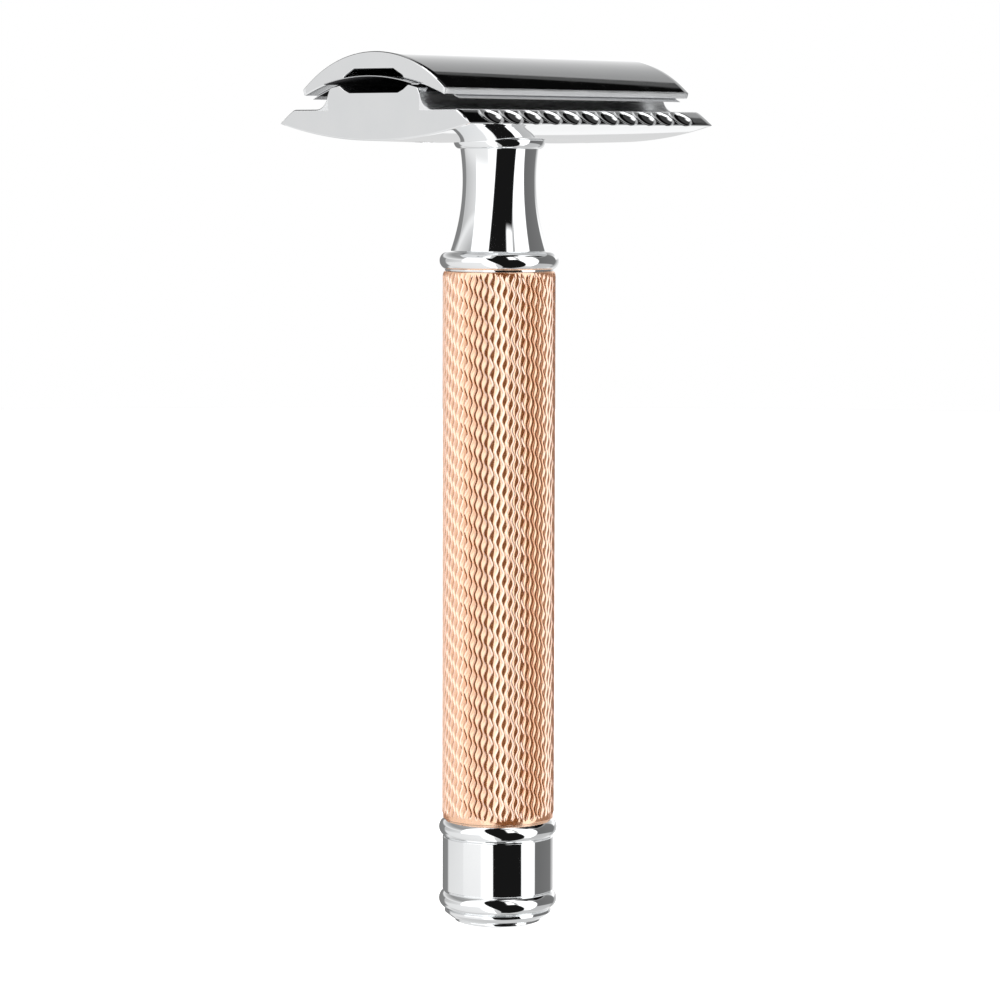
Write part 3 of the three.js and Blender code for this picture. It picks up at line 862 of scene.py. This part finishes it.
def plate_relief(vertices):
    """Gives the under face its belly and the land round its seat, waves the guard's lower lip, and presses a
    row of scoops into its crowned slope."""
    side = np.sign(vertices[:, 1])
    reach = np.abs(vertices[:, 1])
    low = smooth_step((SEAT + UNDER_TOP - vertices[:, 2]) / UNDER_FADE)
    belly = (1 - (reach / PLATE_HIGH.y) ** 2) * (1 - (vertices[:, 0] / PLATE_HIGH.x) ** 2)
    vertices[:, 2] -= PLATE_BELLY * low * belly
    from_axis = np.hypot(vertices[:, 0], vertices[:, 1])
    land = low * smooth_step((LAND_FADE_R - from_axis) / (LAND_FADE_R - LAND_R))
    vertices[:, 2] += land * np.maximum(SEAT - vertices[:, 2], 0)

    first = -(SCOOPS - 1) / 2 * SCOOP_PITCH
    number = np.clip(np.round((vertices[:, 0] - first) / SCOOP_PITCH), 0, SCOOPS - 1)
    across = (vertices[:, 0] - first - number * SCOOP_PITCH) / SCOOP_HALF_X
    near_lip = smooth_step((reach - PLATE_HIGH.y + LIP_WAVE_REACH) / LIP_WAVE_REACH)
    reach = reach - LIP_WAVE * smooth_step(1 - np.abs(across)) * near_lip

    edge = np.array([SHELF_EDGE, SEAT + SHELF_Z])
    nose = np.array([PLATE_HIGH.y, SEAT + NOSE_Z])
    down = (nose - edge) / np.linalg.norm(nose - edge)
    out = np.array([-down[1], down[0]])
    place = np.column_stack([reach, vertices[:, 2]]) - (edge + nose) / 2
    slope, height = place @ down, place @ out
    half_slope = np.linalg.norm(nose - edge) / 2
    crown = SLOPE_CROWN * np.clip(1 - (slope / half_slope) ** 2, 0, 1)
    crowned = height + np.where(height > -SLOPE_SKIN, crown, 0)
    along = np.abs(slope - SCOOP_LOW) / SCOOP_HALF_SLOPE
    narrowing = np.clip(1 - along**2, 0, 1)
    wall = math.radians(SCOOP_WALL)
    inside = np.clip(1 - across**2 / np.maximum(narrowing, 0.001) * math.sin(wall) ** 2, 0.02, 1)
    scoop = -SCOOP_RADIUS * (np.sqrt(inside) - math.cos(wall)) * np.sqrt(narrowing)
    bowl = scoop + np.maximum(along - 1, 0)
    blend = np.clip(0.5 + 0.5 * (crowned - bowl) / SCOOP_RIM, 0, 1)
    sunk = crowned + (bowl - crowned) * blend - SCOOP_RIM * blend * (1 - blend)
    on_slope = (reach > SHELF_EDGE - SLOPE_REACH) & (height > -SLOPE_DEPTH)
    change = np.where(on_slope, sunk - height, 0)
    vertices[:, 1] = side * (reach + out[0] * change)
    vertices[:, 2] += out[1] * change
    return vertices


def plate_outline():
    """The base plate's end, anticlockwise in (y, z): under face, guard, shelf, hump and trough."""
    centre = PLATE_LOW.z - SEAT + PLATE_BOTTOM_R
    nose = PLATE_HIGH.y
    tip = math.degrees(math.asin((nose - 0.5) / PLATE_BOTTOM_R))
    under = arc(0, centre, PLATE_BOTTOM_R, 270, 270 + tip, 16)
    outer = angle_at(HUMP_OUTER, HUMP_TOP_R)
    inner = angle_at(HUMP_INNER, HUMP_TOP_R)
    hump = arc(0, BEND_CENTRE, HUMP_TOP_R, outer, inner, 1)
    half = rounded([
        *under,
        (nose + 0.05, NOSE_Z - 0.04, 0.09),
        (SHELF_EDGE, SHELF_Z, 0.7),
        *arc(SHELF_ROUND_Y, SHELF_Z + SHELF_ROUND, SHELF_ROUND, 270, 188, 12),
        (*hump[0], 0.4),
        (*hump[1], 0.4),
        (TROUGH_HALF + TROUGH_FLARE, TROUGH_Z + TROUGH_RISE, 0.4),
        (TROUGH_HALF - TROUGH_CURVE, TROUGH_Z, 0.5),
        (0, TROUGH_Z),
    ])
    outline = [(y, z + SEAT) for y, z in half[:-1] + mirrored(half)[:-1]]

    def longest(middle):
        guard = abs(middle[0]) > SHELF_EDGE - 0.4 and middle[1] > SEAT + NOSE_Z - 0.3
        return GUARD_STEP if guard else SIDE_LENGTH

    return split_long(outline, longest)


def plate_bevel(y):
    """The share of the end bevel, which narrows towards the thin noses of the guard."""
    return min(1.0, (NOSE_BEVEL + BEVEL_GROWTH * max(PLATE_HIGH.y - abs(y), 0)) / END_BEVEL)


def base_plate():
    half = PLATE_HIGH.x
    last = (SCOOPS - 1) / 2 * SCOOP_PITCH + SCOOP_HALF_X + 0.2
    count = round(2 * last / GUARD_STEP)
    ends = [half - END_BEVEL - 1.4, half - END_BEVEL - 0.6]
    stations = [-ends[1], -ends[0], *np.linspace(-last, last, count + 1), *ends]
    piece = bar("base_plate_combed", plate_outline(), half, END_BEVEL, stations, plate_relief, plate_bevel)
    top = SEAT + TROUGH_Z
    cut(piece, [
        cylinder(STUD_HOLE_R, PLATE_LOW.z - 2, top + 0.3, chamfer=0.55, segments=96),
        cylinder(PIN_HOLE_R, PLATE_LOW.z - 2, top + 0.3, -PIN_X, 0.5),
        cylinder(PIN_HOLE_R, PLATE_LOW.z - 2, top + 0.3, PIN_X, 0.5),
        cylinder(FLANGE_R + 0.15, PLATE_LOW.z - 2, SEAT + 0.03, segments=128),
    ])
    finish_piece(piece, "base_plate", "plate", PLATE_CHROME, sharp=28)


def top_cap():
    """A crescent with a recess along its under face, and blind holes for the stud and the pins."""
    edge = angle_at(CAP_HIGH.y, CAP_R)
    crown_z = CAP_HIGH.z - SEAT - CAP_R
    lip = angle_at(CAP_LIP, CAP_UNDER_R)
    inner = angle_at(RECESS_HALF, CAP_UNDER_R)
    under = arc(0, BEND_CENTRE, CAP_UNDER_R, lip, inner, 16)
    crown = arc(0, crown_z, CAP_R, edge, 180 - edge, 96)
    half = [
        (0, RECESS_TOP),
        (RECESS_HALF - RECESS_SLOPE, RECESS_TOP, 0.6),
        (RECESS_HALF - RECESS_DRAFT, RECESS_TOP - RECESS_SLOPE_Z, 0.25),
        (*under[-1], 0.2),
        *reversed(under[1:-1]),
        (*under[0], 0.2),
        (*crown[0], 0.2),
    ]
    right = rounded(half + [crown[1]])[:-1]
    left = mirrored(right)
    outline = [(y, z + SEAT) for y, z in right + crown[1:-1] + left[:-1]]
    half_length = CAP_HIGH.x
    stations = np.linspace(-half_length + END_BEVEL + 0.6, half_length - END_BEVEL - 0.6, 24)
    fine = split_long(outline, lambda middle: SIDE_LENGTH)
    piece = bar("top_cap_curved", fine, half_length, END_BEVEL, stations)
    low = SEAT + BLADE_APEX - 1
    cut(piece, [
        cylinder(STUD_ROOT_R + PRESS_GAP, low, STUD_HIGH.z + PRESS_GAP),
        cylinder(PIN_R + PRESS_GAP, low, PIN_HIGH.z + PRESS_GAP, -PIN_X),
        cylinder(PIN_R + PRESS_GAP, low, PIN_HIGH.z + PRESS_GAP, PIN_X),
    ])
    finish_piece(piece, "top_cap", "cap", CAP_CHROME, sharp=28)


def cap_stud():
    low, high = STUD_LOW.z, STUD_HIGH.z
    profile = [
        (0, low),
        (STUD_ROOT_R - 0.35, low),
        (STUD_ROOT_R - 0.04, low + 0.3),
        *thread_rows(STUD_ROOT_R, STUD_CREST_R, low + 0.35, STUD_THREAD_TOP, 14),
        (STUD_ROOT_R, STUD_THREAD_TOP + 0.2),
        (STUD_ROOT_R, high - 0.1),
        (STUD_ROOT_R - 0.1, high),
        (0, high),
    ]
    finish_piece(revolve("cap_stud_threaded", profile), "cap_stud", "cap", CHROME, sharp=40)


def cap_pin(node, x):
    low, high = PIN_LOW.z, PIN_HIGH.z
    profile = rounded([
        (0, low),
        (PIN_R - 0.4, low, 0.1),
        (PIN_R, low + 0.4, 0.15),
        (PIN_R, high - 0.1, 0.05),
        (PIN_R - 0.1, high),
        (0, high),
    ])
    piece = revolve(node + "_turned", profile, 96)
    piece.data.transform(Matrix.Translation((x * MM, 0, 0)))
    finish_piece(piece, node, "cap", CHROME)


def blade():
    """Bent strip with ground edges, round-ended slot and stepped corners."""
    edge = angle_at(BLADE_HIGH.y, BLADE_BEND_R)
    face = edge + BLADE_GRIND
    outer = BLADE_BEND_R + BLADE_THICKNESS / 2
    top = arc(0, BEND_CENTRE, outer, face, 180 - face, 64)
    bottom = arc(0, BEND_CENTRE, outer - BLADE_THICKNESS, 180 - face, face, 64)
    edges = arc(0, BEND_CENTRE, BLADE_BEND_R, edge, 180 - edge, 1)
    outline = [(y, z + SEAT) for y, z in [edges[0], *top, edges[1], *bottom]]
    length = BLADE_HIGH.x
    piece = bar("blade_bent", outline, length, 0.02, np.linspace(-length + 1, length - 1, 20))
    low, high = SEAT, SEAT + BLADE_APEX + 1
    slot_end = PIN_X + BLADE_SLOT_END
    tools = [
        cylinder(BLADE_HOLE_R, low, high, segments=96),
        block((-slot_end, -BLADE_SLOT_HALF, low), (slot_end, BLADE_SLOT_HALF, high)),
    ]
    for side in (-1, 1):
        tools.append(cylinder(PIN_R + 0.35, low, high, side * PIN_X))
        tools.append(cylinder(BLADE_SLOT_HALF + 0.25, low, high, side * slot_end))
        for across in (-1, 1):
            ends = sorted((side * BLADE_EDGE_HALF, side * BLADE_EDGE_HALF * 1.5))
            sides = sorted((across * BLADE_TAB_HALF, across * 12))
            tools.append(block((ends[0], sides[0], low), (ends[1], sides[1], high)))
    cut(piece, tools)
    finish_piece(piece, "blade", "blade", BLADE_STEEL, sharp=20)
    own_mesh(piece)


# ------------------------------------------------------------------ studio

AZIMUTH = math.radians(-49.02)
DISTANCE = 0.43836
CAMERA_HEIGHT = 0.08569
PITCH_DOWN = math.radians(4.983)
ROLL = math.radians(0.132)
AIM_RIGHT = 0.00015
LENS = 142.5
CAD_MIDDLE = (cad_box[0].z + cad_box[1].z) / 2
FLOOR_R = 900.0
FLOOR_TOP = -0.02
FLOOR_THICKNESS = 1.0
FLOOR_GLOW = 0.85
TOWARDS_CAMERA = Vector((math.sin(AZIMUTH), -math.cos(AZIMUTH), 0))
TO_THE_RIGHT = Vector((math.cos(AZIMUTH), math.sin(AZIMUTH), 0))

# What stands round the razor, as (name, turn low, turn high, height low, height high, brightness at the low
# turn, brightness at the high turn, softness of the edge). Turns are in degrees to the right of the camera,
# seen from the razor. Heights are in degrees above the horizon. Later cards cover earlier ones.
CARDS = (
    ("left_edge", -172, -126, -28, 14, 0.22, 0.26, 4),
    ("left_wall", -126, -76, -28, 14, 0.55, 0.8, 3),
    ("far_grey", 68, 176, 46, 69, 0.05, 0.05, 2),
    ("far_strip", 95, 176, 35.6, 38, 0.09, 0.09, 0.3),
    ("far_dark", 95, 176, 37.2, 50, 0.003, 0.003, 0.3),
    ("overhead", 40, 160, 72, 90, 1.35, 1.35, 2),
    ("right_low", 83, 142, -52, -19, 0.55, 0.62, 2),
    ("right_wall", 140, 168, -28, 3, 0.3, 0.95, 3),
    ("left_softbox", -77, -8, -90, 84, 1.45, 1.45, 2),
    ("left_floor", -126, -33, -90, -7.5, 0.84, 0.94, 5),
    ("right_strip", 42, 83, -46, 46, 1.5, 1.5, 2),
    ("right_strip_top", 42, 75, 44, 72, 1.5, 1.5, 2),
)

# A dark flag, which is left out of reflections of reflections.
RIGHT_FLAG = ("right_flag", 83, 142, -19, 33, 0.16, 0.2, 2)

# The dark room beside the camera, which is left out from the third reflection on. It leans by LEAN degrees of
# turn for each degree of height.
CAMERA_SIDE = ("camera_side", -14.5, 46, -78, 82, 0.009, 0.009, 1.5)
LEAN = 0.4

# A small lamp in front of that dark room.
SMALL_LIGHT = ("small_light", 20, 36, 24, 58, 1.6, 1.6, 3)

# The backdrop's brightness by height above the horizon, which is seen where no card stands.
BACKDROP = (
    (-90, 0.62), (-40, 0.68), (-24, 0.95), (-15, 1.02), (-14.3, 0.72),
    (-1, 0.72), (2, 1.15), (13, 1.15), (18, 0.78), (24, 0.57),
    (29, 0.44), (34, 0.34), (37, 0.32), (58, 0.42), (90, 0.6),
)


def surroundings():
    """Soft cards round the razor, seen in its metal only. The camera itself sees plain white."""
    world = bpy.data.worlds.new("studio")
    bpy.context.scene.world = world
    world.use_nodes = True
    graph = Graph(world.node_tree)
    direction = graph.node("ShaderNodeTexCoord").outputs["Generated"]
    right = graph.dot(direction, TO_THE_RIGHT)
    near = graph.dot(direction, TOWARDS_CAMERA)
    up = graph.dot(direction, (0, 0, 1))
    turn = graph.math("DEGREES", graph.math("ARCTAN2", right, near))
    height = graph.math("DEGREES", graph.math("ARCSINE", up))
    shade = grey(BACKDROP[0][1])
    for (low, _), (high, value) in zip(BACKDROP, BACKDROP[1:]):
        shade = graph.mix(graph.ramp(height, low, high, smooth=False), shade, grey(value))
    for card in CARDS:
        shade = with_card(graph, shade, card, turn, height)
    path = graph.node("ShaderNodeLightPath")
    depth = path.outputs["Glossy Depth"]
    leaning = graph.math("ADD", turn, graph.math("MULTIPLY", height, LEAN))
    once = graph.math("LESS_THAN", depth, 1.5)
    twice = graph.math("LESS_THAN", depth, 2.5)
    shade = with_card(graph, shade, RIGHT_FLAG, turn, height, once)
    shade = with_card(graph, shade, CAMERA_SIDE, leaning, height, twice)
    shade = with_card(graph, shade, SMALL_LIGHT, turn, height)
    seen = path.outputs["Is Camera Ray"]
    light = graph.node("ShaderNodeBackground")
    graph.put(graph.mix(seen, shade, (1, 1, 1, 1)), light.inputs["Color"])
    out = graph.node("ShaderNodeOutputWorld")
    graph.tree.links.new(light.outputs[0], out.inputs[0])


def with_card(graph, shade, card, turn, height, share=None):
    """The studio's shade with one more card in front of it. share fades the card."""
    _, left, right, low, high, left_value, right_value, soft = card
    from_left = graph.ramp(turn, left - soft, left + soft)
    to_right = graph.ramp(turn, right - soft, right + soft, 1.0, 0.0)
    from_low = graph.ramp(height, low - soft, low + soft)
    to_high = graph.ramp(height, high - soft, high + soft, 1.0, 0.0)
    sides = graph.math("MULTIPLY", from_left, to_right)
    ends = graph.math("MULTIPLY", from_low, to_high)
    mask = graph.math("MULTIPLY", sides, ends)
    if share is not None:
        mask = graph.math("MULTIPLY", mask, share)
    return graph.mix(mask, shade, graph.ramp(turn, left, right, left_value, right_value, smooth=False))


def grey(value):
    return (value, value, value, 1)


def pale_floor():
    """A pale round floor, bright enough to run into the backdrop."""
    low = FLOOR_TOP - FLOOR_THICKNESS
    floor = revolve("floor", [(0, low), (FLOOR_R, low), (FLOOR_R, FLOOR_TOP), (0, FLOOR_TOP)], 96)
    material, graph = new_material("pale_floor")
    glow = graph.node("ShaderNodeEmission")
    glow.inputs["Strength"].default_value = FLOOR_GLOW
    matt = graph.node("ShaderNodeBsdfDiffuse")
    matt.inputs["Color"].default_value = (0.86, 0.86, 0.86, 1)
    both = graph.node("ShaderNodeAddShader")
    out = graph.node("ShaderNodeOutputMaterial")
    graph.tree.links.new(glow.outputs[0], both.inputs[0])
    graph.tree.links.new(matt.outputs[0], both.inputs[1])
    graph.tree.links.new(both.outputs[0], out.inputs[0])
    floor.data.materials.append(material)
    floor.visible_glossy = False


def soft_lamp():
    """A broad lamp over the left shoulder, which is kept out of reflections."""
    lamp = bpy.data.lights.new("soft_lamp", "AREA")
    lamp.energy = 1.2
    lamp.size = 0.5
    holder = bpy.data.objects.new("soft_lamp", lamp)
    holder.location = TOWARDS_CAMERA * 0.3 - TO_THE_RIGHT * 0.5 + Vector((0, 0, 0.6))
    aim = Vector((0, 0, CAD_MIDDLE)) - holder.location
    holder.rotation_mode = "QUATERNION"
    holder.rotation_quaternion = aim.to_track_quat("-Z", "Y")
    holder.visible_glossy = False
    bpy.context.scene.collection.objects.link(holder)


def camera():
    """The view past the head's near end, from just below the seat and a little downwards."""
    data = bpy.data.cameras.new("camera")
    data.lens = LENS
    data.sensor_width = 36
    data.clip_start = 0.01
    data.clip_end = 10
    holder = bpy.data.objects.new("camera", data)
    holder.location = TOWARDS_CAMERA * DISTANCE + Vector((0, 0, CAMERA_HEIGHT))
    drop = DISTANCE * math.tan(PITCH_DOWN)
    aim = TO_THE_RIGHT * AIM_RIGHT + Vector((0, 0, CAMERA_HEIGHT - drop)) - holder.location
    holder.rotation_mode = "QUATERNION"
    roll = Matrix.Rotation(ROLL, 3, "Z").to_quaternion()
    holder.rotation_quaternion = aim.to_track_quat("-Z", "Y") @ roll
    bpy.context.scene.collection.objects.link(holder)
    bpy.context.scene.camera = holder


pommel()
foot_plug()
neck()
grip_sleeve()
core_tube()
tie_rod()
tie_nut()
tie_washer()
o_ring("neck_o_ring")
o_ring("pommel_o_ring")
base_plate()
top_cap()
cap_stud()
cap_pin("cap_pin_left", -PIN_X)
cap_pin("cap_pin_right", PIN_X)
blade()

surroundings()
pale_floor()
soft_lamp()
camera()
bpy.context.scene.view_settings.view_transform = "Standard"
